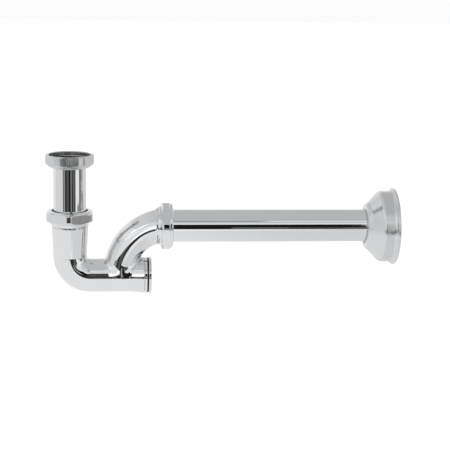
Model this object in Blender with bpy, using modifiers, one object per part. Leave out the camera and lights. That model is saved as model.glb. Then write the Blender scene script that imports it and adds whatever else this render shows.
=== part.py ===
"""Tubular P-trap for a basin or bidet: chrome-plated brass, 32 mm tubes, with slip joints, a cleanout plug and a
wall rosette.

Metres, +Z up. The origin is the centre of the inlet washer's upper face, where the basin's waste seats. The inlet
tube hangs down from it along -Z, and the outlet tube runs along +X to the wall. The whole trap lies in the plane
Y = 0. Lengths below are in millimetres times MM.
"""

from math import cos, pi, radians, sin

import bmesh
import bpy
from mathutils import Matrix, Vector

MM = 0.001

# Driving dimensions.
TUBE_R = 16.0 * MM  # outside of the 32 mm inlet and outlet tubes
TUBE_WALL = 1.0 * MM
BODY_R = 16.5 * MM  # outside of the U and the bottom run
SHOULDER_R = 17.8 * MM  # outside of the inlet leg, just below its socket
BODY_BORE_R = 14.4 * MM
OUTLET_DROP = 65.4 * MM  # inlet seat to the outlet's axis
SEAL_DEPTH = 49.6 * MM  # outlet's axis to the axis of the bottom run: the height of the water seal
BEND_R = 20.0 * MM  # centreline radius of the U
NECK_R = 46.0 * MM  # centreline radius of the swan neck
NECK_CENTRE_X = 95.0 * MM
NECK_OUTSIDE_R = 16.2 * MM
NECK_FLARE = 1.0 * MM  # how much the neck grows towards its socket
OUTLET_SOCKET_X = 84.6 * MM  # station 0 of the outlet's slip joint
BRANCH_END_X = 73.0 * MM  # end of the bottom run, where the cleanout ferrule sits
TUBE_END_X = 318.0 * MM
WALL_X = 321.1 * MM  # plane of the rosette's back

OUTLET_Z = -OUTLET_DROP
RUN_Z = OUTLET_Z - SEAL_DEPTH
NECK_CENTRE_Z = OUTLET_Z - NECK_R
PLAY = 0.3 * MM  # gap between pieces that touch

# Stations of a slip joint run from its socket's datum towards the tube it holds.
SOCKET_R = 17.4 * MM  # outside of the bend's end, inside the ferrule
SOCKET_BORE_R = 16.25 * MM
SOCKET_END = 4.0 * MM
INLET_BOTTOM = -8.0 * MM  # how deep the inlet tube can go
OUTLET_BOTTOM = 1.8 * MM
INLET_TUBE_END = -4.0 * MM
OUTLET_TUBE_END = 2.2 * MM
THREAD_R = 20.2 * MM  # pitch radius of the G 1 1/4 thread on each ferrule
NUT_THREAD_R = 20.55 * MM
FERRULE_END = 11.5 * MM
SEAT_LOW = 5.3 * MM
NUT_FOOT = 4.3 * MM
NUT_CEILING = 13.4 * MM
NUT_TOP = 15.7 * MM
MOUTH_R = 17.8 * MM  # of a slip nut, round its tube
SLIP_NUT_FLATS = 45.4 * MM

# Union nut, measured from the inlet seat.
UNION_TOP = 5.1 * MM
UNION_FOOT = -7.3 * MM
UNION_FLATS = 43.8 * MM
UNION_CORNER_R = 23.5 * MM
UNION_THREAD_R = 20.55 * MM
FLANGE_R = 19.0 * MM
WASHER_THICK = 2.0 * MM
FLANGE_THICK = 2.0 * MM

# Cleanout, measured along X.
PLUG_HEAD_X = (76.95 * MM, 79.6 * MM)
PLUG_HEAD_R = 18.15 * MM
PLUG_THREAD_R = 14.6 * MM
PLUG_TIP_X = 68.5 * MM
CLEANOUT_BORE_R = 14.9 * MM
BRANCH_R = 17.8 * MM
FERRULE_FACE_X = 75.4 * MM

# Rosette: stations run from the wall towards the trap.
ROSETTE_DROP = 0.8 * MM  # it hangs on the tube, so its axis is a little lower
ROSETTE_HOLE_R = 17.2 * MM
ROSETTE_WALL = 0.9 * MM

TURN_STEPS = 32  # facets round a turned piece
SWEEP_SIDES = 24  # facets round the bend
OVERCUT = 2.0 * MM  # how far a cutter runs past the face it opens


def clear_scene():
    for obj in list(bpy.data.objects):
        bpy.data.objects.remove(obj)


def collection(name, shown=True):
    made = bpy.data.collections.new(name)
    bpy.context.scene.collection.children.link(made)
    made.hide_render = not shown
    return made


def material(name, colour, roughness, metallic):
    made = bpy.data.materials.new(name)
    made.use_nodes = True
    shader = made.node_tree.nodes["Principled BSDF"]
    shader.inputs["Base Color"].default_value = (*colour, 1.0)
    shader.inputs["Roughness"].default_value = roughness
    shader.inputs["Metallic"].default_value = metallic
    return made


clear_scene()
PARTS = collection("p_trap")
CUTTERS = collection("cutters", shown=False)
CHROME = material("chrome", (0.78, 0.79, 0.80), 0.06, 1.0)
RUBBER = material("rubber", (0.02, 0.02, 0.02), 0.6, 0.0)
NYLON = material("nylon", (0.03, 0.03, 0.03), 0.45, 0.0)

ALONG_Z = Matrix.Identity(4)
ALONG_X = Matrix.Rotation(pi / 2, 4, "Y")  # turns local +Z to world +X
INLET = Matrix.Translation((0, 0, OUTLET_Z))
OUTLET = Matrix.Translation((OUTLET_SOCKET_X, 0, OUTLET_Z)) @ ALONG_X


def add_object(name, data, place, finish):
    obj = bpy.data.objects.new(name, data)
    obj.matrix_world = place
    if finish is None:
        CUTTERS.objects.link(obj)
        obj.hide_render = True
        obj.display_type = "WIRE"
    else:
        PARTS.objects.link(obj)
        data.materials.append(finish)
    return obj


def turned(name, profile, place, finish, steps=TURN_STEPS):
    """A closed profile of (radius, height) pairs, down its outer side and up its inner side, turned about local Z.
    A profile that starts and ends on the axis is left open there."""
    points = [Vector((radius, 0, height)) for radius, height in profile]
    count = len(points)
    on_axis = profile[0][0] == 0
    edges = [(i, i + 1) for i in range(count - 1)]
    if not on_axis:
        edges.append((count - 1, 0))
    mesh = bpy.data.meshes.new(name)
    mesh.from_pydata(points, edges, [])
    obj = add_object(name, mesh, place, finish)
    screw = obj.modifiers.new("turn", "SCREW")
    screw.steps = screw.render_steps = steps
    screw.use_merge_vertices = True
    screw.merge_threshold = 0.00001
    screw.use_smooth_shade = True
    return obj


def arc(centre, radius, start, end, steps):
    """Points of (radius, height) on an arc in a profile, angles in degrees from outwards to up."""
    angles = [radians(start + (end - start) * i / steps) for i in range(steps + 1)]
    return [(centre[0] + radius * cos(a), centre[1] + radius * sin(a)) for a in angles]


def boolean(obj, other, operation, solver="EXACT"):
    cut = obj.modifiers.new(operation.lower(), "BOOLEAN")
    cut.operation = operation
    cut.solver = solver
    cut.object = other


def swept(name, route):
    """A solid tube along a route of (x, z, radius) in the plane Y = 0, as a mesh with welded caps."""
    curve = bpy.data.curves.new(name, "CURVE")
    curve.dimensions = "3D"
    curve.twist_mode = "MINIMUM"
    curve.bevel_depth = 1.0
    curve.bevel_resolution = (SWEEP_SIDES - 4) // 2
    curve.use_fill_caps = True
    spline = curve.splines.new("POLY")
    spline.points.add(len(route) - 1)
    for point, (x, z, radius) in zip(spline.points, route):
        point.co = (x, 0, z, 1)
        point.radius = radius
    drawn = add_object(name + "_curve", curve, Matrix.Identity(4), None)
    bpy.context.view_layer.update()
    graph = bpy.context.evaluated_depsgraph_get()
    mesh = bpy.data.meshes.new_from_object(drawn.evaluated_get(graph))
    bpy.data.objects.remove(drawn)
    welded = bmesh.new()
    welded.from_mesh(mesh)
    bmesh.ops.remove_doubles(welded, verts=welded.verts, dist=0.000001)
    bmesh.ops.recalc_face_normals(welded, faces=welded.faces)
    welded.to_mesh(mesh)
    welded.free()
    return mesh


def hex_prism(name, flats, place, turn):
    """A six-sided cutter, taller than any nut, with a corner towards local -Y when turn is 0 degrees."""
    mesh = bpy.data.meshes.new(name)
    prism = bmesh.new()
    corner_r = flats / 2 / cos(pi / 6)
    bmesh.ops.create_cone(
        prism, cap_ends=True, segments=6, radius1=corner_r, radius2=corner_r, depth=60 * MM
    )
    bmesh.ops.rotate(prism, verts=prism.verts, matrix=Matrix.Rotation(radians(turn), 3, "Z"))
    prism.to_mesh(mesh)
    prism.free()
    return add_object(name, mesh, place, None)


# ---------------------------------------------------------------- the bend

def leg_and_run(leg_top, leg_r, body_r, run_end_x, end_r):
    """The route down the inlet leg, which tapers, round the U and along the bottom run, which flares to the
    cleanout."""
    bend_top = RUN_Z + BEND_R
    flare_start_x = 57 * MM
    route = [(0, leg_top, leg_r), (0, OUTLET_Z - 1 * MM, leg_r)]
    turns = 7
    for i in range(turns + 1):
        angle = i * pi / 2 / turns
        route.append((BEND_R * (1 - cos(angle)), bend_top - BEND_R * sin(angle), body_r))
    route += [(flare_start_x, RUN_Z, body_r), (run_end_x, RUN_Z, end_r)]
    return route


def neck(radius, end_angle):
    """The route up the swan neck: out of the bottom run, then a quarter turn to the outlet, growing to its socket."""
    grow_angle = 40
    route = [(NECK_CENTRE_X - NECK_R, RUN_Z - 1 * MM, radius)]
    turns = 9
    for i in range(turns + 1):
        angle = 90 + (end_angle - 90) * i / turns
        grown = max(0.0, (grow_angle - angle) / (grow_angle - end_angle))
        route.append(
            (
                NECK_CENTRE_X - NECK_R * sin(radians(angle)),
                NECK_CENTRE_Z + NECK_R * cos(radians(angle)),
                radius + NECK_FLARE * grown,
            )
        )
    return route


def make_bend():
    """The one-piece bend: inlet leg, U, bottom run with its cleanout branch, and the swan neck up to the outlet."""
    wall = BODY_R - BODY_BORE_R
    shell_end = 0.5 * MM  # station where the leg and the neck stop, short of their ferrules
    body = add_object(
        "trap_bend",
        swept(
            "bend_outside",
            leg_and_run(OUTLET_Z + shell_end, SHOULDER_R, BODY_R, BRANCH_END_X - PLAY, BRANCH_R),
        ),
        Matrix.Identity(4),
        CHROME,
    )
    neck_outside = add_object(
        "neck_outside", swept("neck_outside", neck(NECK_OUTSIDE_R, 5.0)), Matrix.Identity(4), None
    )
    past_neck = turned(
        "past_neck",
        [(0, 20 * MM), (30 * MM, 20 * MM), (30 * MM, shell_end), (0, shell_end)],
        OUTLET,
        None,
    )
    boolean(neck_outside, past_neck, "DIFFERENCE")
    boolean(body, neck_outside, "UNION", "MANIFOLD")
    for side, place in (("inlet", INLET), ("outlet", OUTLET)):
        foot = shell_end - 1.5 * MM
        spigot = turned(
            f"{side}_spigot",
            [(0, SOCKET_END), (SOCKET_R, SOCKET_END), (SOCKET_R, foot), (0, foot)],
            place,
            None,
        )
        boolean(body, spigot, "UNION", "MANIFOLD")
    bores = [
        add_object(
            "run_bore",
            swept(
                "run_bore",
                leg_and_run(
                    OUTLET_Z + SOCKET_END + OVERCUT, BODY_BORE_R, BODY_BORE_R, BRANCH_END_X + OVERCUT, BODY_BORE_R
                ),
            ),
            Matrix.Identity(4),
            None,
        ),
        add_object("neck_bore", swept("neck_bore", neck(NECK_OUTSIDE_R - wall, 6.0)), Matrix.Identity(4), None),
        turned(
            "inlet_socket_bore",
            [
                (0, SOCKET_END + OVERCUT),
                (SOCKET_BORE_R, SOCKET_END + OVERCUT),
                (SOCKET_BORE_R, INLET_BOTTOM),
                (BODY_BORE_R - 0.2 * MM, INLET_BOTTOM - 2 * MM),
                (0, INLET_BOTTOM - 2 * MM),
            ],
            INLET,
            None,
        ),
        turned(
            "outlet_socket_bore",
            [
                (0, SOCKET_END + OVERCUT),
                (SOCKET_BORE_R, SOCKET_END + OVERCUT),
                (SOCKET_BORE_R, OUTLET_BOTTOM),
                (0, OUTLET_BOTTOM),
            ],
            OUTLET,
            None,
        ),
        turned(
            "cleanout_counterbore",
            [
                (0, BRANCH_END_X + OVERCUT),
                (CLEANOUT_BORE_R + 1.4 * MM, BRANCH_END_X + OVERCUT),
                (CLEANOUT_BORE_R + 1.4 * MM, 64.5 * MM),
                (0, 64.5 * MM),
            ],
            Matrix.Translation((0, 0, RUN_Z)) @ ALONG_X,
            None,
        ),
    ]
    for bore in bores:
        boolean(body, bore, "DIFFERENCE", "MANIFOLD")
    return body


# ---------------------------------------------------------------- slip joints

def make_slip_joint(side, place, nut_turn, corner_r, hex_low, hex_high):
    """The threaded ferrule brazed on a socket, and what it holds: cone seal, slip ring and nut. corner_r, hex_low and
    hex_high are the radius and the stations of the nut's six corners."""
    tube_hole_r = TUBE_R + PLAY
    seat_low_r, seat_high_r = 17.2 * MM, 19.1 * MM
    ferrule_foot = 0.8 * MM
    turned(
        f"{side}_ferrule",
        [
            (THREAD_R - 0.6 * MM, FERRULE_END),
            (THREAD_R, FERRULE_END - 0.6 * MM),
            (THREAD_R, NUT_FOOT + 0.9 * MM),
            (19.2 * MM, NUT_FOOT + 0.1 * MM),
            (19.1 * MM, 2.6 * MM),
            (18.6 * MM, 2.0 * MM),
            (18.3 * MM, ferrule_foot),
            (SOCKET_R + PLAY, ferrule_foot),
            (SOCKET_R + PLAY, SOCKET_END + PLAY),
            (tube_hole_r, SOCKET_END + PLAY),
            (tube_hole_r, SEAT_LOW),
            (seat_low_r, SEAT_LOW),
            (seat_high_r, FERRULE_END),
        ],
        place,
        CHROME,
    )
    seal_foot, seal_top = SEAT_LOW + 0.4 * MM, FERRULE_END + 0.5 * MM
    turned(
        f"{side}_cone_seal",
        [
            (seat_high_r - PLAY, seal_top),
            (seat_high_r - PLAY, FERRULE_END - 0.3 * MM),
            (seat_low_r - 0.15 * MM, seal_foot),
            (TUBE_R + 0.2 * MM, seal_foot),
            (TUBE_R + 0.2 * MM, seal_top),
        ],
        place,
        RUBBER,
    )
    ring_foot = seal_top + 0.2 * MM
    turned(
        f"{side}_slip_ring",
        [
            (NUT_THREAD_R - 0.6 * MM, ring_foot + 1.0 * MM),
            (NUT_THREAD_R - 0.6 * MM, ring_foot),
            (tube_hole_r, ring_foot),
            (tube_hole_r, ring_foot + 1.0 * MM),
        ],
        place,
        NYLON,
    )
    nut = turned(
        f"{side}_slip_nut",
        [
            (20.6 * MM, NUT_TOP),
            (21.7 * MM, NUT_TOP - 0.4 * MM),
            (22.0 * MM, NUT_TOP - 1.2 * MM),
            (21.9 * MM, hex_high + 0.2 * MM),
            (corner_r - 1.3 * MM, hex_high),
            (corner_r, hex_high - 1.2 * MM),
            (corner_r, hex_low + 0.8 * MM),
            (corner_r - 0.8 * MM, hex_low - 0.2 * MM),
            (21.6 * MM, NUT_FOOT),
            (NUT_THREAD_R, NUT_FOOT),
            (NUT_THREAD_R, NUT_CEILING),
            (MOUTH_R, NUT_CEILING),
            (MOUTH_R, NUT_TOP - 0.3 * MM),
            (MOUTH_R + 0.3 * MM, NUT_TOP),
        ],
        place,
        CHROME,
    )
    boolean(nut, hex_prism(f"{side}_hexagon", SLIP_NUT_FLATS, place, nut_turn), "INTERSECT")


# ---------------------------------------------------------------- inlet

def make_inlet():
    """The flanged inlet tube, its washer and the union nut that pulls both against the basin's waste."""
    bore_r = TUBE_R - TUBE_WALL
    flange_top = -WASHER_THICK - 0.2 * MM
    flange_foot = flange_top - FLANGE_THICK
    turned(
        "inlet_washer",
        [(FLANGE_R, 0), (FLANGE_R, -WASHER_THICK), (bore_r, -WASHER_THICK), (bore_r, 0)],
        ALONG_Z,
        RUBBER,
    )
    turned(
        "inlet_tube",
        [
            (FLANGE_R, flange_top),
            (FLANGE_R, flange_foot),
            (TUBE_R, flange_foot),
            (TUBE_R, OUTLET_Z + INLET_TUBE_END),
            (bore_r, OUTLET_Z + INLET_TUBE_END),
            (bore_r, flange_top),
        ],
        ALONG_Z,
        CHROME,
    )
    ceiling = flange_foot - 0.2 * MM
    nut = turned(
        "inlet_union_nut",
        [
            (UNION_CORNER_R - 0.7 * MM, UNION_TOP),
            (UNION_CORNER_R, UNION_TOP - 0.7 * MM),
            (UNION_CORNER_R, -3.3 * MM),
            (20.3 * MM, -6.4 * MM),
            (19.5 * MM, -7.0 * MM),
            (18.8 * MM, UNION_FOOT),
            (TUBE_R + PLAY, UNION_FOOT),
            (TUBE_R + PLAY, ceiling),
            (UNION_THREAD_R, ceiling),
            (UNION_THREAD_R, UNION_TOP - 0.6 * MM),
            (UNION_THREAD_R + 0.5 * MM, UNION_TOP),
        ],
        ALONG_Z,
        CHROME,
    )
    boolean(nut, hex_prism("union_hexagon", UNION_FLATS, ALONG_Z, 28.1), "INTERSECT")


# ---------------------------------------------------------------- cleanout

def make_cleanout():
    """The cleanout's ferrule in the end of the bottom run, its gasket and the slotted plug."""
    place = Matrix.Translation((0, 0, RUN_Z)) @ ALONG_X
    sleeve_r = CLEANOUT_BORE_R + 1.1 * MM
    turned(
        "cleanout_ferrule",
        [
            (BRANCH_R - 0.3 * MM, FERRULE_FACE_X),
            (BRANCH_R, FERRULE_FACE_X - 0.3 * MM),
            (BRANCH_R, BRANCH_END_X),
            (sleeve_r, BRANCH_END_X),
            (sleeve_r, 65.0 * MM),
            (CLEANOUT_BORE_R, 65.0 * MM),
            (CLEANOUT_BORE_R, FERRULE_FACE_X),
        ],
        place,
        CHROME,
    )
    gasket_top, gasket_foot = PLUG_HEAD_X[0] - 0.2 * MM, FERRULE_FACE_X + 0.2 * MM
    turned(
        "cleanout_gasket",
        [
            (17.2 * MM, gasket_top),
            (17.2 * MM, gasket_foot),
            (PLUG_THREAD_R + 0.4 * MM, gasket_foot),
            (PLUG_THREAD_R + 0.4 * MM, gasket_top),
        ],
        place,
        RUBBER,
    )
    plug = turned(
        "cleanout_plug",
        [
            (0, PLUG_HEAD_X[1]),
            (PLUG_HEAD_R - 0.5 * MM, PLUG_HEAD_X[1]),
            (PLUG_HEAD_R, PLUG_HEAD_X[1] - 0.5 * MM),
            (PLUG_HEAD_R, PLUG_HEAD_X[0] + 0.2 * MM),
            (PLUG_HEAD_R - 0.2 * MM, PLUG_HEAD_X[0]),
            (PLUG_THREAD_R, PLUG_HEAD_X[0]),
            (PLUG_THREAD_R, PLUG_TIP_X + 0.6 * MM),
            (PLUG_THREAD_R - 0.6 * MM, PLUG_TIP_X),
            (11.5 * MM, PLUG_TIP_X),
            (11.5 * MM, 74.0 * MM),
            (0, 74.0 * MM),
        ],
        place,
        CHROME,
    )
    slot_mesh = bpy.data.meshes.new("coin_slot")
    slot = bmesh.new()
    bmesh.ops.create_cube(slot, size=1.0)
    slot_depth = 2.0 * MM
    bmesh.ops.scale(slot, verts=slot.verts, vec=(2 * slot_depth, 3.0 * MM, 24.0 * MM))
    slot.to_mesh(slot_mesh)
    slot.free()
    cutter = add_object("coin_slot", slot_mesh, Matrix.Translation((PLUG_HEAD_X[1], 0, RUN_Z)), None)
    boolean(plug, cutter, "DIFFERENCE")


# ---------------------------------------------------------------- outlet

def make_outlet():
    """The straight outlet tube and the rosette that covers its hole in the wall."""
    tube_start = OUTLET_SOCKET_X + OUTLET_TUBE_END
    bore_r = TUBE_R - TUBE_WALL
    turned(
        "outlet_tube",
        [(TUBE_R, TUBE_END_X), (TUBE_R, tube_start), (bore_r, tube_start), (bore_r, TUBE_END_X)],
        Matrix.Translation((0, 0, OUTLET_Z)) @ ALONG_X,
        CHROME,
    )
    outside = [(37.0 * MM, 0), (37.6 * MM, -0.4 * MM)]
    outside += arc((36.6 * MM, -1.5 * MM), 1.4 * MM, 20, -70, 3)
    outside += [(35.5 * MM, -4.2 * MM), (35.3 * MM, -5.2 * MM)]
    outside += arc((31.9 * MM, -13.6 * MM), 3.4 * MM, 0, -45, 2)
    outside += arc((20.0 * MM, -24.8 * MM), 5.0 * MM, -45, -90, 3)
    outside += [(ROSETTE_HOLE_R, -29.7 * MM)]
    inside = [
        (ROSETTE_HOLE_R, -28.9 * MM),
        (20.0 * MM, -28.7 * MM),
        (23.0 * MM, -27.2 * MM),
        (33.2 * MM, -16.4 * MM),
        (34.4 * MM, -13.6 * MM),
        (34.4 * MM, -4.4 * MM),
        (35.2 * MM, -2.6 * MM),
        (35.4 * MM, 0),
    ]
    turned(
        "wall_rosette",
        outside + inside,
        Matrix.Translation((WALL_X, 0, OUTLET_Z - ROSETTE_DROP)) @ ALONG_X,
        CHROME,
        steps=40,
    )


make_inlet()
make_bend()
make_slip_joint("inlet", INLET, -3.0, 25.0 * MM, 6.3 * MM, 13.9 * MM)
make_slip_joint("outlet", OUTLET, -7.5, 24.4 * MM, 5.1 * MM, 12.4 * MM)
make_cleanout()
make_outlet()
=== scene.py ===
"""Looks of the chrome P-trap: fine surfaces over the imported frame, chrome, rubber and nylon finishes, a white
studio and the camera. Lengths are in millimetres times MM, in the row frame: the origin at the inlet washer's
upper face, +X along the outlet tube, +Z up."""

from math import acos, cos, hypot, pi, radians, sin, tan

import bmesh
import bpy
import numpy as np
from mathutils import Matrix, Vector


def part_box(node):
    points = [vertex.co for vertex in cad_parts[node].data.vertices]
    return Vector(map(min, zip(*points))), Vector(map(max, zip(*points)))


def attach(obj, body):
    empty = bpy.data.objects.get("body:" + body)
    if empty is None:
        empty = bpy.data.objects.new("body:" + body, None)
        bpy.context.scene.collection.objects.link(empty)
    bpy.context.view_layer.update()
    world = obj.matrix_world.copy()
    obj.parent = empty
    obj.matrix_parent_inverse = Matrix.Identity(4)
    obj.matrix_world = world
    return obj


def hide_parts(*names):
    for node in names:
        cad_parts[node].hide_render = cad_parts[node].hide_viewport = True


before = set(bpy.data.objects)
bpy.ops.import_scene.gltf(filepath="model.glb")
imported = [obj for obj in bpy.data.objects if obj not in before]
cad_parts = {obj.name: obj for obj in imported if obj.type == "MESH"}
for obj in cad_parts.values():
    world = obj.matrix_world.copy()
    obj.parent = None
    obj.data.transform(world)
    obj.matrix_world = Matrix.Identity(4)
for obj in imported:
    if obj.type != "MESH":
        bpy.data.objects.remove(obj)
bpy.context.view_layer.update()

MM = 0.001
X, Z = 0, 2  # axes


def ends(node, axis):
    """The lowest and the highest place of a CAD node along an axis."""
    low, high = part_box(node)
    return low[axis], high[axis]


# Places and sizes read from the frame.
OUTLET_LOW_Z, OUTLET_HIGH_Z = ends("outlet_tube", Z)
OUTLET_Z = (OUTLET_LOW_Z + OUTLET_HIGH_Z) / 2
TUBE_R = (OUTLET_HIGH_Z - OUTLET_LOW_Z) / 2
TUBE_BORE_R = TUBE_R - 1.0 * MM
RUN_Z = sum(ends("cleanout_plug", Z)) / 2
RUN_END_X = ends("cleanout_ferrule", X)[1] - 2.7 * MM
FERRULE_FOOT = 0.8 * MM  # past its slip joint's datum
INLET_DATUM_Z = ends("inlet_ferrule", Z)[0] - FERRULE_FOOT
OUTLET_DATUM_X = ends("outlet_ferrule", X)[0] - FERRULE_FOOT
WALL_X = ends("wall_rosette", X)[1]
ROSETTE_Z = sum(ends("wall_rosette", Z)) / 2

# The bend.
BODY_R = 16.5 * MM
BODY_BORE_R = 14.4 * MM
BEND_R = 20.0 * MM  # the U's centre line
LEG_TOP_R = 17.8 * MM  # the leg widens to this at LEG_TOP_Z
LEG_TOP_Z = OUTLET_Z - 1.0 * MM
RUN_FLARE = 1.4 * MM  # how much the run widens towards the cleanout
RUN_FLARE_START = 57.0 * MM
RUN_FLARE_LENGTH = 18.0 * MM
NECK_R = 46.0 * MM  # the swan neck's centre line
NECK_CENTRE_X = 95.0 * MM
NECK_CENTRE_Z = OUTLET_Z - NECK_R
NECK_OUTSIDE_R = 16.2 * MM
NECK_FLARE = 1.0 * MM  # how much the neck widens towards its socket
NECK_FLARE_START = radians(40)  # from the top of the neck's arc
NECK_FLARE_SWEEP = radians(35)
CASTING_REACH = 0.5 * MM  # of the casting past each slip joint's datum
SPIGOT_R = 17.4 * MM  # the narrower end of the casting inside each ferrule
SPIGOT_LENGTH = 4.0 * MM
SOCKET_BORE_R = 16.25 * MM  # where each tube goes in
COUNTERBORE_R = 15.7 * MM  # where the cleanout ferrule's sleeve goes in
COUNTERBORE_START = 64.5 * MM
CASTING_FILLET = 5.0 * MM

# Threads and nuts.
PITCH = 2.309 * MM  # G 1 1/4 thread
PLUG_PITCH = 1.5 * MM
FLANK = 1.6  # steepness of a thread's flanks
HEX_ROUNDING = 0.3 * MM
UNION_FLATS = 43.8 * MM
UNION_TURN = 30.4  # degrees
FERRULE_THREAD_R = 20.2 * MM
FERRULE_THREAD_TOP = 11.5 * MM
NUT_THREAD_R = 20.55 * MM
NUT_FOOT, NUT_TOP = 4.3 * MM, 15.7 * MM
FLANGE_R = 19.0 * MM
COIN_SLOT = (24 * MM, 3 * MM, 4 * MM)

TURN_STEPS = 256  # facets round most turned pieces
ARC_STEP = radians(15)
FINE = 0.2 * MM  # the usual small rounding
OUTLINE_SPACING = 0.2 * MM  # on pieces with a thread
SAME = 0.001 * MM  # lengths closer than this count as equal

ALONG_Z = Matrix.Identity(4)
ALONG_X = Matrix.Rotation(pi / 2, 4, "Y")
INLET = Matrix.Translation((0, 0, INLET_DATUM_Z))
OUTLET = Matrix.Translation((OUTLET_DATUM_X, 0, OUTLET_Z)) @ ALONG_X
OUTLET_LINE = Matrix.Translation((0, 0, OUTLET_Z)) @ ALONG_X
CLEANOUT = Matrix.Translation((0, 0, RUN_Z)) @ ALONG_X
ROSETTE = Matrix.Translation((WALL_X, 0, ROSETTE_Z)) @ ALONG_X


# ---------------------------------------------------------------- finishes

EVENLY = (1, 1, 1)
ROUND_LINES = (0.02, 0.02, 1.0)  # lines round a piece turned about its own Z
LONG_LINES = (1.0, 1.0, 0.02)  # lines along it
PLATE_DARK = (0.71, 0.72, 0.735)
PLATE_LIGHT = (0.745, 0.75, 0.755)


def new_material(name):
    made = bpy.data.materials.new(name)
    made.use_nodes = True
    return made, made.node_tree.nodes, made.node_tree.links


def noise(nodes, links, coords, scale, stretch=EVENLY, detail=4.0):
    """A noise field over the piece's own coordinates, drawn out along an axis by a small stretch there."""
    mapping = nodes.new("ShaderNodeMapping")
    mapping.inputs["Scale"].default_value = stretch
    field = nodes.new("ShaderNodeTexNoise")
    field.inputs["Scale"].default_value = scale
    field.inputs["Detail"].default_value = detail
    field.inputs["Roughness"].default_value = 0.55
    links.new(coords.outputs["Object"], mapping.inputs["Vector"])
    links.new(mapping.outputs["Vector"], field.inputs["Vector"])
    return field.outputs["Fac"]


def remap(nodes, links, value, low, high, to_low, to_high):
    node = nodes.new("ShaderNodeMapRange")
    node.inputs["From Min"].default_value = low
    node.inputs["From Max"].default_value = high
    node.inputs["To Min"].default_value = to_low
    node.inputs["To Max"].default_value = to_high
    links.new(value, node.inputs["Value"])
    return node.outputs["Result"]


def add(nodes, links, first, second):
    node = nodes.new("ShaderNodeMath")
    node.operation = "ADD"
    links.new(first, node.inputs[0])
    links.new(second, node.inputs[1])
    return node.outputs[0]


def colour(nodes, links, value, dark, light):
    """The colour between dark and light that a value from 0 to 1 stands for."""
    node = nodes.new("ShaderNodeValToRGB")
    node.color_ramp.elements[0].color = (*dark, 1)
    node.color_ramp.elements[1].color = (*light, 1)
    links.new(value, node.inputs["Fac"])
    return node.outputs["Color"]


def bump(nodes, links, height, distance, strength=1.0, below=None):
    """A bumped normal, on top of the normal below if one is given."""
    node = nodes.new("ShaderNodeBump")
    node.inputs["Strength"].default_value = strength
    node.inputs["Distance"].default_value = distance
    links.new(height, node.inputs["Height"])
    if below is not None:
        links.new(below, node.inputs["Normal"])
    return node.outputs["Normal"]


def chrome(name, shine, wave, brush, brushed_along, tone=1.0):
    """Chrome plate. shine is its roughness, wave the depth of the polished metal's slow unevenness, and brush
    the depth of the fine lines left by the polishing wheel, drawn out along brushed_along. A tone below 1
    darkens it."""
    made, nodes, links = new_material(name)
    shader = nodes["Principled BSDF"]
    coords = nodes.new("ShaderNodeTexCoord")
    shader.inputs["Metallic"].default_value = 1.0
    smudge = noise(nodes, links, coords, 70)
    lines = noise(nodes, links, coords, 2200, brushed_along, detail=3.0)
    slow = noise(nodes, links, coords, 45, detail=1.0)
    dark = [part * tone for part in PLATE_DARK]
    light = [part * tone for part in PLATE_LIGHT]
    links.new(colour(nodes, links, smudge, dark, light), shader.inputs["Base Color"])
    worn = remap(nodes, links, smudge, 0.35, 0.75, shine * 0.8, shine * 1.3)
    fine = remap(nodes, links, lines, 0.45, 0.75, 0.0, shine * 0.6)
    links.new(add(nodes, links, worn, fine), shader.inputs["Roughness"])
    waved = bump(nodes, links, slow, wave)
    links.new(bump(nodes, links, lines, brush, below=waved), shader.inputs["Normal"])
    return made


def matt(name, dark, light, bloom_scale, grain_scale, roughness, depth, strength):
    """A matt finish: a slow bloom from dark to light, and a fine grain in its roughness and its surface."""
    made, nodes, links = new_material(name)
    shader = nodes["Principled BSDF"]
    coords = nodes.new("ShaderNodeTexCoord")
    bloom = noise(nodes, links, coords, bloom_scale)
    grain = noise(nodes, links, coords, grain_scale)
    links.new(colour(nodes, links, bloom, dark, light), shader.inputs["Base Color"])
    links.new(remap(nodes, links, grain, 0.3, 0.7, *roughness), shader.inputs["Roughness"])
    links.new(bump(nodes, links, grain, depth, strength), shader.inputs["Normal"])
    return made


TURNED_CHROME = chrome("turned_chrome", 0.06, 0.03 * MM, 0.0015 * MM, ROUND_LINES)
NUT_CHROME = chrome("nut_chrome", 0.05, 0.02 * MM, 0.0015 * MM, LONG_LINES)
UNION_CHROME = chrome("union_chrome", 0.24, 0.04 * MM, 0.002 * MM, LONG_LINES, tone=0.8)
TUBE_CHROME = chrome("tube_chrome", 0.035, 0.01 * MM, 0.0008 * MM, ROUND_LINES)
CAST_CHROME = chrome("cast_chrome", 0.05, 0.09 * MM, 0.001 * MM, EVENLY)
PRESSED_CHROME = chrome("pressed_chrome", 0.2, 0.04 * MM, 0.0008 * MM, ROUND_LINES, tone=0.9)
BLACK_RUBBER = matt(
    "black_rubber", (0.012, 0.012, 0.013), (0.035, 0.034, 0.033), 120, 900, (0.5, 0.75), 0.08 * MM, 0.6
)
BLACK_NYLON = matt(
    "black_nylon", (0.012, 0.012, 0.012), (0.022, 0.022, 0.021), 600, 600, (0.35, 0.5), 0.04 * MM, 0.5
)


# ---------------------------------------------------------------- shaping tools

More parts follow.
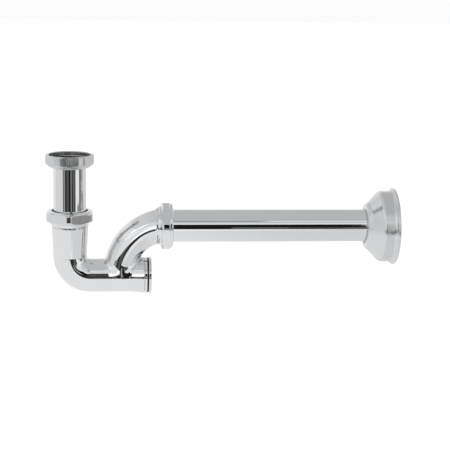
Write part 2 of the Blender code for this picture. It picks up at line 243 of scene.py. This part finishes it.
def outline(corners, closed=True, spacing=None):
    """Points of an outline through corners (radius, height, rounding), each corner an arc of that rounding.
    Long stretches get a point close to either end, which keeps their shading straight, and one every
    spacing."""
    count = len(corners)
    runs = []
    for i, (radius, height, rounding) in enumerate(corners):
        here = np.array((radius, height))
        inner = closed or 0 < i < count - 1
        if not inner or rounding == 0:
            runs.append([here])
            continue
        before = np.array(corners[i - 1][:2]) - here
        after = np.array(corners[(i + 1) % count][:2]) - here
        runs.append(rounded(here, before, after, rounding))
    edge = 0.06 * MM
    points = []
    for i, arc in enumerate(runs):
        points += arc
        if i == count - 1 and not closed:
            break
        start, end = arc[-1], runs[(i + 1) % count][0]
        length = hypot(*(end - start))
        if length < 4 * edge:
            continue
        between = max(1, round((length - 2 * edge) / spacing)) if spacing else 1
        shares = [edge / length + (1 - 2 * edge / length) * j / between for j in range(between + 1)]
        points += [start + (end - start) * t for t in shares]
    return np.array(points)


def rounded(corner, before, after, rounding):
    """The arc that rounds a corner, given the steps from it to the points before and after. It takes up at
    most 0.48 of either step."""
    far_before, far_after = hypot(*before), hypot(*after)
    before, after = before / far_before, after / far_after
    half = acos(max(-1.0, min(1.0, float(before @ after)))) / 2
    reach = min(rounding / tan(half), 0.48 * far_before, 0.48 * far_after)
    middle = before + after
    centre = corner + middle / hypot(*middle) * reach / cos(half)
    start, end = corner + before * reach - centre, corner + after * reach - centre
    swing = pi - 2 * half
    steps = max(2, round(swing / ARC_STEP))
    shares = [j / steps for j in range(steps + 1)]
    return [centre + (start * sin((1 - t) * swing) + end * sin(t * swing)) / sin(swing) for t in shares]


def ring(outer_r, inner_r, low, high, rounding=FINE):
    """The outline of a plain ring or tube. rounding is that of its outer edges."""
    return outline(
        [
            (outer_r, high, rounding),
            (outer_r, low, rounding),
            (inner_r, low, FINE),
            (inner_r, high, FINE),
        ]
    )


def lathe(name, points, place, finish, warp=None, steps=TURN_STEPS, closed=True):
    """An outline of (radius, height) points, down its outer side and up its inner side, turned about local Z.
    warp changes the radius by height and angle."""
    angles = np.arange(steps) * 2 * pi / steps
    radius, height = points[:, 0][:, None], points[:, 1][:, None]
    if warp is not None:
        radius = warp(radius, height, angles[None, :])
    radius = radius + 0 * angles[None, :]
    verts = np.stack((radius * np.cos(angles), radius * np.sin(angles), height + 0 * radius), axis=-1)
    rows = len(points)
    row = np.arange(rows if closed else rows - 1)[:, None]
    column = np.arange(steps)[None, :]
    below, along = (row + 1) % rows, (column + 1) % steps
    quads = np.stack(
        (row * steps + column, below * steps + column, below * steps + along, row * steps + along), axis=-1
    )
    return shape(name, verts.reshape(-1, 3), quads.reshape(-1, 4), place, finish)


def shape(name, verts, quads, place, finish, normals=None):
    """A smooth mesh object. Normals, if given, are the true ones of the surface at each point."""
    mesh = bpy.data.meshes.new(name)
    mesh.from_pydata(verts.tolist(), [], quads.tolist())
    mesh.shade_smooth()
    if normals is None:
        trim = bmesh.new()
        trim.from_mesh(mesh)
        bmesh.ops.remove_doubles(trim, verts=trim.verts, dist=SAME / 2)
        trim.to_mesh(mesh)
        trim.free()
    else:
        mesh.normals_split_custom_set_from_vertices(normals.tolist())
    mesh.materials.append(finish)
    obj = bpy.data.objects.new(name, mesh)
    bpy.context.scene.collection.objects.link(obj)
    obj.matrix_world = place
    return obj


def assign(piece, node, body):
    """Makes a piece move with a body and take a CAD node's place."""
    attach(piece, body)
    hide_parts(node)


def soft_min(a, b, width):
    """The smaller of two values, with the crease between them rounded off over width."""
    close = np.maximum(width - np.abs(a - b), 0) / width
    return np.minimum(a, b) - close**3 * width / 6


def thread(radius, height, angle, wall_r, low, high, depth, pitch=PITCH):
    """How deep a right-handed thread is cut at each place: into the wall of radius wall_r, low to high."""
    turn = (height / pitch - angle / (2 * pi)) % 1.0
    from_groove = np.abs(turn * 2 - 1)
    groove = np.clip((0.5 - from_groove) * FLANK + 0.5, 0, 1)
    cut = (np.abs(radius - wall_r) < SAME) & (height > low) & (height < high)
    return np.where(cut, depth * groove, 0)


def six_flats(radius, angle, flats, corner_turn):
    """A radius cut back to a hexagon of that size across its flats, a corner corner_turn degrees from -Y."""
    from_flat = (angle + pi / 2 - radians(corner_turn)) % (pi / 3) - pi / 6
    return soft_min(radius, flats / 2 / np.cos(from_flat), HEX_ROUNDING)


# ---------------------------------------------------------------- inlet

def make_washer():
    foot, seat = ends("inlet_washer", Z)
    washer = lathe("washer", ring(FLANGE_R, TUBE_BORE_R, foot, seat), ALONG_Z, BLACK_RUBBER)
    assign(washer, "inlet_washer", "inlet_tube")


def make_inlet_tube():
    """The tube, with the flange that the union nut pulls up."""
    end, top = ends("inlet_tube", Z)
    flange_foot = top - 2.0 * MM
    points = outline(
        [
            (FLANGE_R, top, FINE),
            (FLANGE_R, flange_foot, FINE),
            (TUBE_R, flange_foot, 0.3 * MM),
            (TUBE_R, end, FINE),
            (TUBE_BORE_R, end, FINE),
            (TUBE_BORE_R, top, 0.5 * MM),
        ]
    )
    tube = lathe("inlet_tube_skin", points, ALONG_Z, TUBE_CHROME)
    assign(tube, "inlet_tube", "inlet_tube")


def make_union_nut():
    foot, top = ends("inlet_union_nut", Z)
    ceiling = ends("inlet_tube", Z)[1] - 2.2 * MM
    corner_r, hole_r = 23.5 * MM, 16.3 * MM
    points = outline(
        [
            (corner_r - 0.7 * MM, top, 0.4 * MM),
            (corner_r, top - 0.7 * MM, 0.4 * MM),
            (corner_r, foot + 4.0 * MM, 0.8 * MM),
            (20.3 * MM, foot + 0.9 * MM, 0.8 * MM),
            (18.8 * MM, foot, 0.5 * MM),
            (hole_r, foot, FINE),
            (hole_r, ceiling, FINE),
            (NUT_THREAD_R, ceiling, FINE),
            (NUT_THREAD_R, top - 0.6 * MM, 0),
            (NUT_THREAD_R + 0.6 * MM, top, 0.1 * MM),
        ],
        spacing=OUTLINE_SPACING,
    )
    thread_low, thread_high = ceiling + 0.6 * MM, top - 4.0 * MM

    def warp(radius, height, angle):
        cut = thread(radius, height, angle, NUT_THREAD_R, thread_low, thread_high, 0.9 * MM)
        return six_flats(radius, angle, UNION_FLATS, UNION_TURN) + cut

    nut = lathe("union_nut_skin", points, ALONG_Z, UNION_CHROME, warp)
    assign(nut, "inlet_union_nut", "union_nut")


# ---------------------------------------------------------------- slip joints
# Heights are from the joint's datum, just inside the end of the casting, towards the tube.

def make_ferrule(side, place):
    hole_r, spigot_hole_r = 16.3 * MM, 17.7 * MM
    step, ledge = 4.3 * MM, 5.3 * MM
    points = outline(
        [
            (FERRULE_THREAD_R - 0.6 * MM, FERRULE_THREAD_TOP, 0.1 * MM),
            (FERRULE_THREAD_R, FERRULE_THREAD_TOP - 0.6 * MM, 0),
            (FERRULE_THREAD_R, 5.2 * MM, 0),
            (19.2 * MM, 4.4 * MM, 0.3 * MM),
            (19.1 * MM, 2.6 * MM, 0.3 * MM),
            (18.6 * MM, 2.0 * MM, 0.3 * MM),
            (18.3 * MM, FERRULE_FOOT, FINE),
            (spigot_hole_r, FERRULE_FOOT, 0.1 * MM),
            (spigot_hole_r, step, 0.1 * MM),
            (hole_r, step, 0.1 * MM),
            (hole_r, ledge, 0.1 * MM),
            (17.2 * MM, ledge, FINE),
            (19.1 * MM, FERRULE_THREAD_TOP, 0.1 * MM),
        ],
        spacing=OUTLINE_SPACING,
    )
    thread_top = FERRULE_THREAD_TOP - 0.7 * MM

    def warp(radius, height, angle):
        return radius - thread(radius, height, angle, FERRULE_THREAD_R, 0, thread_top, 1.0 * MM)

    ferrule = lathe(f"{side}_ferrule_skin", points, place, TURNED_CHROME, warp)
    assign(ferrule, f"{side}_ferrule", "trap")


def make_cone_seal(side, place):
    outer_r, inner_r = 18.8 * MM, 16.2 * MM
    tip, top = 5.7 * MM, 12.0 * MM
    points = outline(
        [
            (outer_r, top, FINE),
            (outer_r, top - 0.8 * MM, FINE),
            (17.05 * MM, tip, FINE),
            (inner_r, tip, FINE),
            (inner_r, top, FINE),
        ]
    )
    seal = lathe(f"{side}_seal_skin", points, place, BLACK_RUBBER)
    assign(seal, f"{side}_cone_seal", f"{side}_seal")


def make_slip_ring(side, place):
    points = ring(19.95 * MM, 16.3 * MM, 12.2 * MM, 13.2 * MM)
    slip_ring = lathe(f"{side}_ring_skin", points, place, BLACK_NYLON)
    assign(slip_ring, f"{side}_slip_ring", f"{side}_ring")


def make_slip_nut(side, place, turn, flats, corner_r, hex_low, hex_high):
    """The nut, a hexagon from hex_low to hex_high with a turned collar above it."""
    mouth_r, ceiling = 17.8 * MM, 13.4 * MM
    points = outline(
        [
            (20.6 * MM, NUT_TOP, 0.8 * MM),
            (22.0 * MM, NUT_TOP - 1.0 * MM, 1.2 * MM),
            (21.9 * MM, hex_high + 0.2 * MM, FINE),
            (corner_r - 1.0 * MM, hex_high, 0.4 * MM),
            (corner_r, hex_high - 0.7 * MM, 0.5 * MM),
            (corner_r, hex_low + 0.8 * MM, 0.6 * MM),
            (corner_r - 0.8 * MM, hex_low - 0.2 * MM, 0.5 * MM),
            (21.6 * MM, NUT_FOOT, 0.5 * MM),
            (NUT_THREAD_R, NUT_FOOT, 0.1 * MM),
            (NUT_THREAD_R, ceiling, FINE),
            (mouth_r, ceiling, 0.1 * MM),
            (mouth_r, NUT_TOP, 0.5 * MM),
        ],
        spacing=OUTLINE_SPACING,
    )
    thread_low, thread_high = NUT_FOOT + 0.5 * MM, ceiling - 0.5 * MM

    def warp(radius, height, angle):
        cut = thread(radius, height, angle, NUT_THREAD_R, thread_low, thread_high, 0.8 * MM)
        return six_flats(radius, angle, flats, turn) + cut

    nut = lathe(f"{side}_nut_skin", points, place, NUT_CHROME, warp)
    assign(nut, f"{side}_slip_nut", f"{side}_nut")


def make_slip_joint(side, place, **nut):
    make_ferrule(side, place)
    make_cone_seal(side, place)
    make_slip_ring(side, place)
    make_slip_nut(side, place, **nut)


# ---------------------------------------------------------------- the bend
# The casting is where bend_distance is below 0. leg_and_run and neck give the distance from points p to the
# outside for a wall of 0, and to the bore for the metal's thickness.

def smooth_step(t):
    t = np.clip(t, 0, 1)
    return t * t * (3 - 2 * t)


def leg_and_run(p, wall):
    """Distance to the inlet leg, the U and the bottom run. The leg and the run widen towards their ends."""
    x, y, z = p[..., 0], p[..., 1], p[..., 2]
    bend_top = RUN_Z + BEND_R
    leg_r = BODY_R + (LEG_TOP_R - BODY_R) * np.clip((z - bend_top) / (LEG_TOP_Z - bend_top), 0, 1)
    run_r = BODY_R + RUN_FLARE * smooth_step((x - RUN_FLARE_START) / RUN_FLARE_LENGTH)
    leg = np.hypot(x, y) - (leg_r if wall == 0 else BODY_BORE_R)
    run = np.hypot(y, z - RUN_Z) - (run_r if wall == 0 else BODY_BORE_R)
    bend = np.hypot(np.hypot(x - BEND_R, z - bend_top) - BEND_R, y) - BODY_R + wall
    above, left = z > bend_top, x < BEND_R
    return np.where(above & left, leg, np.where(left, bend, np.where(above, np.minimum(leg, run), run)))


def neck(p, wall):
    """Distance to the swan neck, which widens towards its socket."""
    x, y, z = p[..., 0], p[..., 1], p[..., 2]
    across, up = x - NECK_CENTRE_X, z - NECK_CENTRE_Z
    angle = np.arctan2(-across, np.maximum(up, 0))
    grown = smooth_step((NECK_FLARE_START - angle) / NECK_FLARE_SWEEP)
    around = np.where(up > 0, np.hypot(across, up), -across)
    distance = np.hypot(around - NECK_R, y) - (NECK_OUTSIDE_R + NECK_FLARE * grown - wall)
    return np.maximum(distance, RUN_Z - z)


def cylinder_z(p, radius, low, high):
    """Distance to a cylinder on the inlet's axis."""
    z = p[..., 2]
    return np.maximum(np.hypot(p[..., 0], p[..., 1]) - radius, np.maximum(low - z, z - high))


def cylinder_x(p, axis_z, radius, low, high):
    """Distance to a cylinder along X at the height axis_z."""
    x = p[..., 0]
    return np.maximum(np.hypot(p[..., 1], p[..., 2] - axis_z) - radius, np.maximum(low - x, x - high))


def casting_outside(p):
    """Distance to the solid casting, with its spigots."""
    x, z = p[..., 0], p[..., 2]
    leg_end, neck_end = INLET_DATUM_Z + CASTING_REACH, OUTLET_DATUM_X + CASTING_REACH
    run = np.maximum(leg_and_run(p, 0), np.where(x < BEND_R, z - leg_end, x - RUN_END_X))
    rise = np.maximum(neck(p, 0), x - neck_end)
    body = soft_min(run, rise, CASTING_FILLET)
    spigot = cylinder_x(p, OUTLET_Z, SPIGOT_R, neck_end - 1.5 * MM, OUTLET_DATUM_X + SPIGOT_LENGTH)
    inlet_spigot = cylinder_z(p, SPIGOT_R, LEG_TOP_Z, INLET_DATUM_Z + SPIGOT_LENGTH)
    return np.minimum(body, np.minimum(spigot, inlet_spigot))


def casting_hollow(p):
    """Distance to the waterway, the two sockets and the counterbore at the cleanout."""
    wall = BODY_R - BODY_BORE_R
    bores = np.minimum(leg_and_run(p, wall), neck(p, wall))
    socket = cylinder_z(p, SOCKET_BORE_R, INLET_DATUM_Z - 8.0 * MM, INLET_DATUM_Z + 7.0 * MM)
    collar = cylinder_x(p, OUTLET_Z, SOCKET_BORE_R, OUTLET_DATUM_X + 1.8 * MM, OUTLET_DATUM_X + 6.0 * MM)
    counterbore = cylinder_x(p, RUN_Z, COUNTERBORE_R, COUNTERBORE_START, RUN_END_X + 3.0 * MM)
    return np.minimum(np.minimum(bores, socket), np.minimum(collar, counterbore))


def bend_distance(p):
    """Distance to the hollow casting's surface, negative inside the metal."""
    return np.maximum(casting_outside(p), -casting_hollow(p))


def gradient(distance, points, reach=0.02 * MM):
    slopes = [distance(points + step) - distance(points - step) for step in np.eye(3) * reach]
    return np.stack(slopes, axis=-1) / (2 * reach)


def surface_net(distance, low, high, pitch):
    """(points, quads, normals) of the surface where distance is 0, one point in each grid cell it crosses."""
    axes = [np.arange(start, end + pitch, pitch) for start, end in zip(low, high)]
    inside = distance(np.stack(np.meshgrid(*axes, indexing="ij"), axis=-1)) < 0
    size = np.array(inside.shape)
    corners = np.zeros(size - 1, int)
    for i, j, k in np.ndindex(2, 2, 2):
        corners += inside[i : size[0] - 1 + i, j : size[1] - 1 + j, k : size[2] - 1 + k]
    crossed = (corners > 0) & (corners < 8)
    index = np.full(crossed.shape, -1)
    index[crossed] = np.arange(crossed.sum())
    points = np.array(low) + (np.argwhere(crossed) + 0.5) * pitch
    for _ in range(5):
        slope = gradient(distance, points)
        step = distance(points)[:, None] * slope / (slope**2).sum(axis=1, keepdims=True)
        points -= np.clip(step, -pitch, pitch)
    quads = []
    for axis in range(3):
        u, v = np.eye(3, dtype=int)[[(axis + 1) % 3, (axis + 2) % 3]]
        here = np.delete(np.arange(size[axis]), -1)
        first, second = inside.take(here, axis), inside.take(here + 1, axis)
        edges = np.argwhere(first != second)
        edges = edges[((edges * (u + v) > 0) | ((u + v) == 0)).all(axis=1)]
        edges = edges[((edges < size - 1) | ((u + v) == 0)).all(axis=1)]
        around = np.stack([index[tuple((edges - shift).T)] for shift in (u + v, v, 0 * u, u)], axis=1)
        outward = first[tuple(edges.T)]
        quads.append(np.where(outward[:, None], around, around[:, ::-1]))
    slope = gradient(distance, points)
    return points, np.concatenate(quads), slope / np.linalg.norm(slope, axis=1, keepdims=True)


def make_bend():
    """The casting: leg, U, bottom run and swan neck, run into each other with cast fillets."""
    low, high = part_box("trap_bend")
    margin = 1.5 * MM
    pitch = 0.8 * MM
    points, quads, normals = surface_net(
        bend_distance, [v - margin for v in low], [v + margin for v in high], pitch
    )
    casting = shape("bend_skin", points, quads, ALONG_Z, CAST_CHROME, normals)
    assign(casting, "trap_bend", "trap")


# ---------------------------------------------------------------- cleanout

def make_cleanout_ferrule():
    """The rim that the plug closes, with its sleeve inside the run."""
    foot, face = ends("cleanout_ferrule", X)
    rim_r, sleeve_r, bore_r = 17.8 * MM, 15.5 * MM, 14.9 * MM
    rim_foot = RUN_END_X + 0.3 * MM
    points = outline(
        [
            (rim_r, face, 0.3 * MM),
            (rim_r, rim_foot, 0.15 * MM),
            (sleeve_r, rim_foot, 0.1 * MM),
            (sleeve_r, foot, 0.1 * MM),
            (bore_r, foot, 0.1 * MM),
            (bore_r, face, FINE),
        ]
    )
    ferrule = lathe("cleanout_ferrule_skin", points, CLEANOUT, TURNED_CHROME)
    assign(ferrule, "cleanout_ferrule", "trap")


def make_gasket():
    points = ring(17.2 * MM, 15.0 * MM, *ends("cleanout_gasket", X), rounding=0.4 * MM)
    gasket = lathe("cleanout_gasket_skin", points, CLEANOUT, BLACK_RUBBER)
    assign(gasket, "cleanout_gasket", "cleanout_gasket")


def make_plug():
    """The plug: a disc with a coin slot in its face, and a hollow threaded end."""
    tip, back = ends("cleanout_plug", X)
    head_foot = back - 2.65 * MM
    head_r, thread_r, hollow_r = 18.15 * MM, 14.6 * MM, 11.5 * MM
    hollow_end = back - 5.6 * MM
    points = outline(
        [
            (0, back, 0),
            (head_r, back, 0.7 * MM),
            (head_r, head_foot, 0.3 * MM),
            (thread_r, head_foot, 0.1 * MM),
            (thread_r, tip, 0.5 * MM),
            (hollow_r, tip, 0.4 * MM),
            (hollow_r, hollow_end, 0.3 * MM),
            (0, hollow_end, 0),
        ],
        closed=False,
        spacing=0.25 * MM,
    )
    thread_low, thread_high = tip + 0.6 * MM, head_foot - 1.0 * MM

    def warp(radius, height, angle):
        cut = thread(radius, height, angle, thread_r, thread_low, thread_high, 0.7 * MM, PLUG_PITCH)
        return radius - cut

    plug = lathe("cleanout_plug_skin", points, CLEANOUT, TURNED_CHROME, warp, closed=False)
    cut_coin_slot(plug, back)
    assign(plug, "cleanout_plug", "cleanout_plug")


def cut_coin_slot(plug, face):
    """Cuts the slot for a coin into the plug's outer face."""
    block = bmesh.new()
    bmesh.ops.create_cube(block, size=1.0)
    bmesh.ops.scale(block, verts=block.verts, vec=COIN_SLOT)
    bmesh.ops.translate(block, verts=block.verts, vec=(0, 0, face))
    mesh = bpy.data.meshes.new("coin_slot")
    block.to_mesh(mesh)
    block.free()
    cutter = bpy.data.objects.new("coin_slot", mesh)
    cutter.matrix_world = CLEANOUT
    bpy.context.scene.collection.objects.link(cutter)
    cut = plug.modifiers.new("slot", "BOOLEAN")
    cut.operation = "DIFFERENCE"
    cut.object = cutter
    bpy.context.view_layer.update()
    evaluated = plug.evaluated_get(bpy.context.evaluated_depsgraph_get())
    slotted = bpy.data.meshes.new_from_object(evaluated)
    plug.modifiers.clear()
    plug.data = slotted
    plug.data.set_sharp_from_angle(angle=radians(40))
    bpy.data.objects.remove(cutter)


# ---------------------------------------------------------------- outlet

def make_outlet_tube():
    points = ring(TUBE_R, TUBE_BORE_R, *ends("outlet_tube", X), rounding=0.3 * MM)
    tube = lathe("outlet_tube_skin", points, OUTLET_LINE, TUBE_CHROME)
    assign(tube, "outlet_tube", "outlet_tube")


def make_rosette():
    """The pressed shell, from its rim at the wall out to the hole for the tube and back along its inside."""
    rim_r, skirt_r, hole_r = 37.97 * MM, 35.3 * MM, 17.2 * MM
    inner_skirt_r = 34.4 * MM
    front, inner_front = -29.7 * MM, -28.8 * MM
    points = outline(
        [
            (37.0 * MM, 0, 0.4 * MM),
            (rim_r, -0.7 * MM, 0.7 * MM),
            (rim_r, -2.3 * MM, 0.7 * MM),
            (36.9 * MM, -3.0 * MM, 0.3 * MM),
            (36.8 * MM, -3.7 * MM, 0.4 * MM),
            (36.1 * MM, -4.2 * MM, 0.5 * MM),
            (skirt_r, -5.8 * MM, 0.8 * MM),
            (skirt_r, -14.6 * MM, 3.0 * MM),
            (33.6 * MM, -17.0 * MM, 3.0 * MM),
            (24.3 * MM, -25.6 * MM, 6.0 * MM),
            (21.5 * MM, front, 3.5 * MM),
            (hole_r, front, 0.4 * MM),
            (hole_r, inner_front, 0.3 * MM),
            (20.8 * MM, inner_front, 3.0 * MM),
            (23.5 * MM, -24.8 * MM, 5.0 * MM),
            (33.0 * MM, -16.2 * MM, 2.5 * MM),
            (inner_skirt_r, -14.2 * MM, 2.5 * MM),
            (inner_skirt_r, -5.0 * MM, 0.8 * MM),
            (36.2 * MM, -2.5 * MM, 0.6 * MM),
            (36.4 * MM, 0, 0.3 * MM),
        ]
    )
    rosette = lathe("rosette_skin", points, ROSETTE, PRESSED_CHROME, steps=360)
    assign(rosette, "wall_rosette", "rosette")


make_washer()
make_inlet_tube()
make_union_nut()
make_slip_joint(
    "inlet", INLET, turn=-1.8, flats=45.0 * MM, corner_r=25.0 * MM, hex_low=6.3 * MM, hex_high=13.9 * MM
)
make_bend()
make_slip_joint(
    "outlet", OUTLET, turn=-7.5, flats=45.4 * MM, corner_r=24.4 * MM, hex_low=5.1 * MM, hex_high=12.4 * MM
)
make_cleanout_ferrule()
make_gasket()
make_plug()
make_outlet_tube()
make_rosette()


# ---------------------------------------------------------------- studio

TARGET = Vector((152.05 * MM, 0, OUTLET_Z + 0.48 * MM))
CAMERA_AZIMUTH = 5.5  # to the left of straight in front
CAMERA_ELEVATION = 11.5
CAMERA_ROLL = 1.0
CAMERA_DISTANCE = 1381 * MM
CAMERA_LENS, CAMERA_SENSOR = 112, 36  # Blender's own millimetres

# Cards stand at distances in metres from TARGET, and span azimuths to the right of straight in front and
# elevations, in degrees.
FLOOR_Z = TARGET.z - 0.487
SCRIM_Z = TARGET.z + 1.0
ROOM_DISTANCE, BOX_DISTANCE, NEAR_DISTANCE = 1.87, 2.3, 0.55
ROOM_FOOT, ROOM_TOP = -13.6, -2.0
SCREEN_FOOT = -6.5
BOX_FOOT = -12.8
SCREEN_LEFT, SCREEN_START, SCREEN_END = -5.5, -1, 15.5
# The dark stretches of the room across the table: where each starts, how bright it is and the elevations it
# spans. Each runs on to the start of the next.
ROOM = (
    (-51.5, 0.15, ROOM_FOOT, ROOM_TOP),
    (-44.5, 0.45, ROOM_FOOT, ROOM_TOP),
    (-38, 0.07, ROOM_FOOT, ROOM_TOP),
    (-31, 0.035, ROOM_FOOT, ROOM_TOP),
    (-24.5, 0.12, ROOM_FOOT, ROOM_TOP),
    (-20, 0.08, ROOM_FOOT, ROOM_TOP),
    (-16, 0.13, ROOM_FOOT, ROOM_TOP),
    (-11, 0.015, ROOM_FOOT, ROOM_TOP),
    (-5.5, 0.015, ROOM_FOOT, SCREEN_FOOT),
    (1, 0.015, -14.7, SCREEN_FOOT),
    (16.8, 0.1, -14.4, -9.0),
)
ROOM_END = 37.5
# Narrow things close by: the azimuths they span and how bright they are.
NEAR = ((-8.1, -2.6, 0.4), (6.1, 14.1, 0.16), (14.1, 22.1, 0.09), (22.1, 29.8, 0.14))
NEAR_SPAN = (-12.5, -2.5)


def card(name, corners, strength):
    """A flat card of the studio, glowing or dark, kept out of the camera's own sight."""
    mesh = bpy.data.meshes.new(name)
    mesh.from_pydata(corners, [], [tuple(range(len(corners)))])
    made, nodes, links = new_material(name)
    nodes.remove(nodes["Principled BSDF"])
    glow = nodes.new("ShaderNodeEmission")
    glow.inputs["Color"].default_value = (1, 1, 1, 1)
    glow.inputs["Strength"].default_value = strength
    links.new(glow.outputs["Emission"], nodes["Material Output"].inputs["Surface"])
    mesh.materials.append(made)
    obj = bpy.data.objects.new(name, mesh)
    bpy.context.scene.collection.objects.link(obj)
    obj.visible_camera = False
    return obj


def upright(name, azimuths, elevations, distance, strength):
    """An upright card that spans those azimuths and elevations as seen from the object."""
    left, right = azimuths
    low, high = elevations
    corners = []
    for azimuth, elevation in ((left, low), (right, low), (right, high), (left, high)):
        turn = radians(azimuth)
        rise = distance * tan(radians(elevation))
        corners.append(TARGET + Vector((sin(turn) * distance, -cos(turn) * distance, rise)))
    return card(name, corners, strength)


def level(name, low, high, height, strength=1.0):
    """A level card over the rectangle from low to high, both (x, y) in metres from the target."""
    corners = [(low[0], low[1]), (high[0], low[1]), (high[0], high[1]), (low[0], high[1])]
    return card(name, [(TARGET.x + x, y, height) for x, y in corners], strength)


def fade(obj, start, end, strengths):
    """Makes a card's glow change between two places along X."""
    tree = obj.data.materials[0].node_tree
    place = tree.nodes.new("ShaderNodeNewGeometry")
    along = tree.nodes.new("ShaderNodeSeparateXYZ")
    tree.links.new(place.outputs["Position"], along.inputs["Vector"])
    glow = remap(tree.nodes, tree.links, along.outputs["X"], start, end, *strengths)
    tree.links.new(glow, tree.nodes["Emission"].inputs["Strength"])


def make_sky():
    world = bpy.data.worlds.new("studio")
    bpy.context.scene.world = world
    world.use_nodes = True
    sky = world.node_tree.nodes["Background"]
    sky.inputs["Color"].default_value = (1, 1, 1, 1)
    sky.inputs["Strength"].default_value = 0.97


def make_floor():
    """A plain pale floor, which meets the white sky far behind the object."""
    mesh = bpy.data.meshes.new("floor")
    reach = 12.0
    signs = ((-1, -1), (1, -1), (1, 1), (-1, 1))
    corners = [(x * reach, y * reach, FLOOR_Z) for x, y in signs]
    mesh.from_pydata(corners, [], [(0, 1, 2, 3)])
    made, nodes, _ = new_material("floor")
    shader = nodes["Principled BSDF"]
    shader.inputs["Base Color"].default_value = (0.3, 0.3, 0.3, 1)
    shader.inputs["Roughness"].default_value = 0.9
    shader.inputs["Emission Color"].default_value = (1, 1, 1, 1)
    shader.inputs["Emission Strength"].default_value = 0.8
    mesh.materials.append(made)
    obj = bpy.data.objects.new("floor", mesh)
    bpy.context.scene.collection.objects.link(obj)


def make_room():
    """The dark things low down across the room and close by, and the photographer's black screen."""
    ends_at = [row[0] for row in ROOM[1:]] + [ROOM_END]
    for i, ((start, strength, low, high), end) in enumerate(zip(ROOM, ends_at)):
        upright(f"room_{i}", (start, end), (low, high), ROOM_DISTANCE, strength)
    for i, (start, end, strength) in enumerate(NEAR):
        upright(f"near_{i}", (start, end), NEAR_SPAN, NEAR_DISTANCE, strength)
    upright("screen", (SCREEN_START, SCREEN_END), (SCREEN_FOOT, 17.2), ROOM_DISTANCE, 0.012)
    upright("screen_side", (SCREEN_LEFT, SCREEN_START), (SCREEN_FOOT, 21.4), ROOM_DISTANCE, 0.06)


def make_boxes():
    """The soft boxes in front and to either side, a doorway, and a curtain and a stand by the left wall."""
    upright("near_box", (-17, -6), (0, 15), ROOM_DISTANCE, 1.4)
    upright("far_box", (-50, -30), (21, 38), BOX_DISTANCE, 1.5)
    upright("side_box", (37.5, 66), (BOX_FOOT, 16), BOX_DISTANCE, 1.05)
    upright("side_base", (50.5, 66), (-14.4, -10.6), ROOM_DISTANCE, 0.3)
    upright("doorway", (67, 101), (BOX_FOOT, 6), BOX_DISTANCE, 0.24)
    upright("left_wall", (-110, -52), (BOX_FOOT, 25), BOX_DISTANCE, 0.85)
    upright("left_curtain", (-74, -58), (BOX_FOOT, 25), BOX_DISTANCE - 0.02, 0.7)
    upright("left_stand", (-113, -103), (2, 55), BOX_DISTANCE - 0.04, 0.16)


def make_table_and_scrim():
    """The white table, brighter along its front edge, and the cloth stretched above it."""
    fade(level("table", (-6, -6), (6, 6), FLOOR_Z + 0.001), 0.1, 0.3, (0.98, 0.84))
    fade(level("table_front", (0, -1.45), (0.32, -1.0), FLOOR_Z + 0.002), 0.16, 0.47, (1.24, 0.98))
    fade(level("scrim", (-1.05, -1.07), (3, 2.14), SCRIM_Z), -0.5, 0.12, (0.78, 0.62))
    level("scrim_bar", (-0.08, -1.33), (0.23, -1.07), SCRIM_Z, 0.33)
    fade(level("scrim_front", (-3, -1.92), (3, -1.33), SCRIM_Z), 0.06, 0.14, (0.85, 0.68))


def make_camera():
    data = bpy.data.cameras.new("camera")
    data.lens = CAMERA_LENS
    data.sensor_width = CAMERA_SENSOR
    camera = bpy.data.objects.new("camera", data)
    bpy.context.scene.collection.objects.link(camera)
    turn = Matrix.Rotation(radians(-CAMERA_AZIMUTH), 4, "Z")
    tilt = Matrix.Rotation(radians(90 - CAMERA_ELEVATION), 4, "X")
    roll = Matrix.Rotation(radians(CAMERA_ROLL), 4, "Z")
    away = Matrix.Translation((0, 0, CAMERA_DISTANCE))
    camera.matrix_world = Matrix.Translation(TARGET) @ turn @ tilt @ roll @ away
    bpy.context.scene.camera = camera


make_sky()
make_floor()
make_room()
make_boxes()
make_table_and_scrim()
make_camera()
bpy.context.scene.view_settings.view_transform = "Standard"
